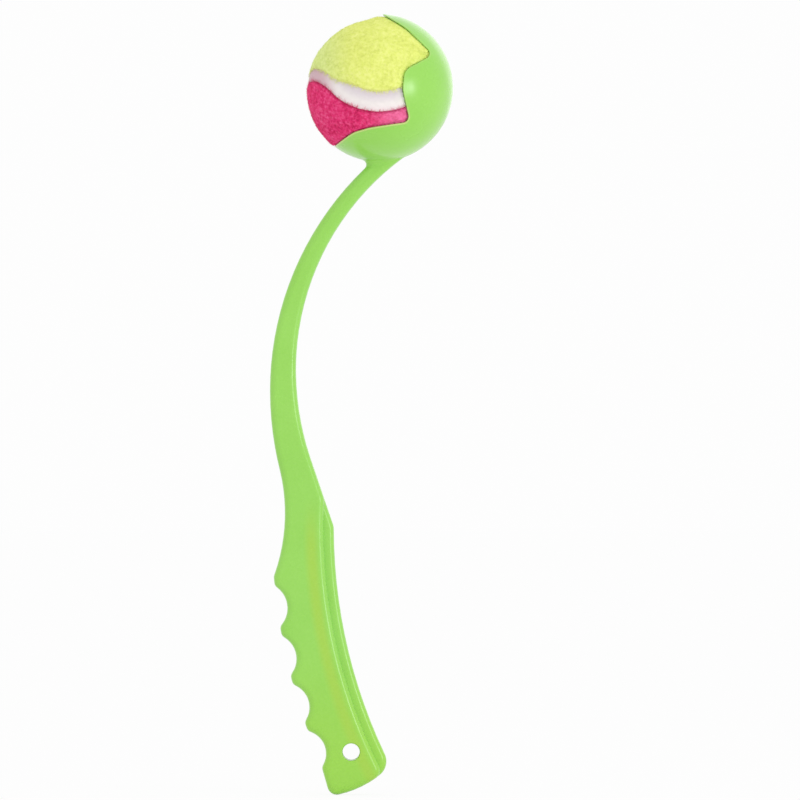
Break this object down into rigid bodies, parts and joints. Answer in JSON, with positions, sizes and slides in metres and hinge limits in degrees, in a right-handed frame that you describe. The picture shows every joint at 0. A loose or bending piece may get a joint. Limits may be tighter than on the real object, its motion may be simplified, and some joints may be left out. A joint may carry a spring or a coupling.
{
  "type": "dog tennis ball launcher",
  "caption": "Moulded dog ball launcher: finger-grooved handle with a hang hole, curved shaft and scalloped snap cup gripping a felt tennis ball that pulls out of its mouth.",
  "frame": {"origin": "centre of the hang hole, on the launcher's mirror plane", "axes": "+Z along the launcher's length, from the handle up to the cup; +Y across it, along the hang hole; +X from the finger grooves to the handle's back"},
  "size_m": [0.085, 0.0648, 0.3624],
  "materials": {
    "lime_plastic": "smooth moulded, soft gloss",
    "core_rubber": "matt",
    "yellow_felt": "short woolly nap",
    "magenta_felt": "short woolly nap",
    "seam_rubber": "matt"
  },
  "bodies": {
    "launcher": {"launcher": "lime_plastic"},
    "ball": {"core_front_half": "core_rubber", "core_back_half": "core_rubber", "felt_yellow": "yellow_felt", "felt_magenta": "magenta_felt", "seam_strip": "seam_rubber"}
  },
  "joints": [
    {"name": "ball_release", "type": "slide", "parent": "launcher", "child": "ball", "axis": [-0.9336, 0, 0.3584], "range_m": [0, 0.09]}
  ]
}
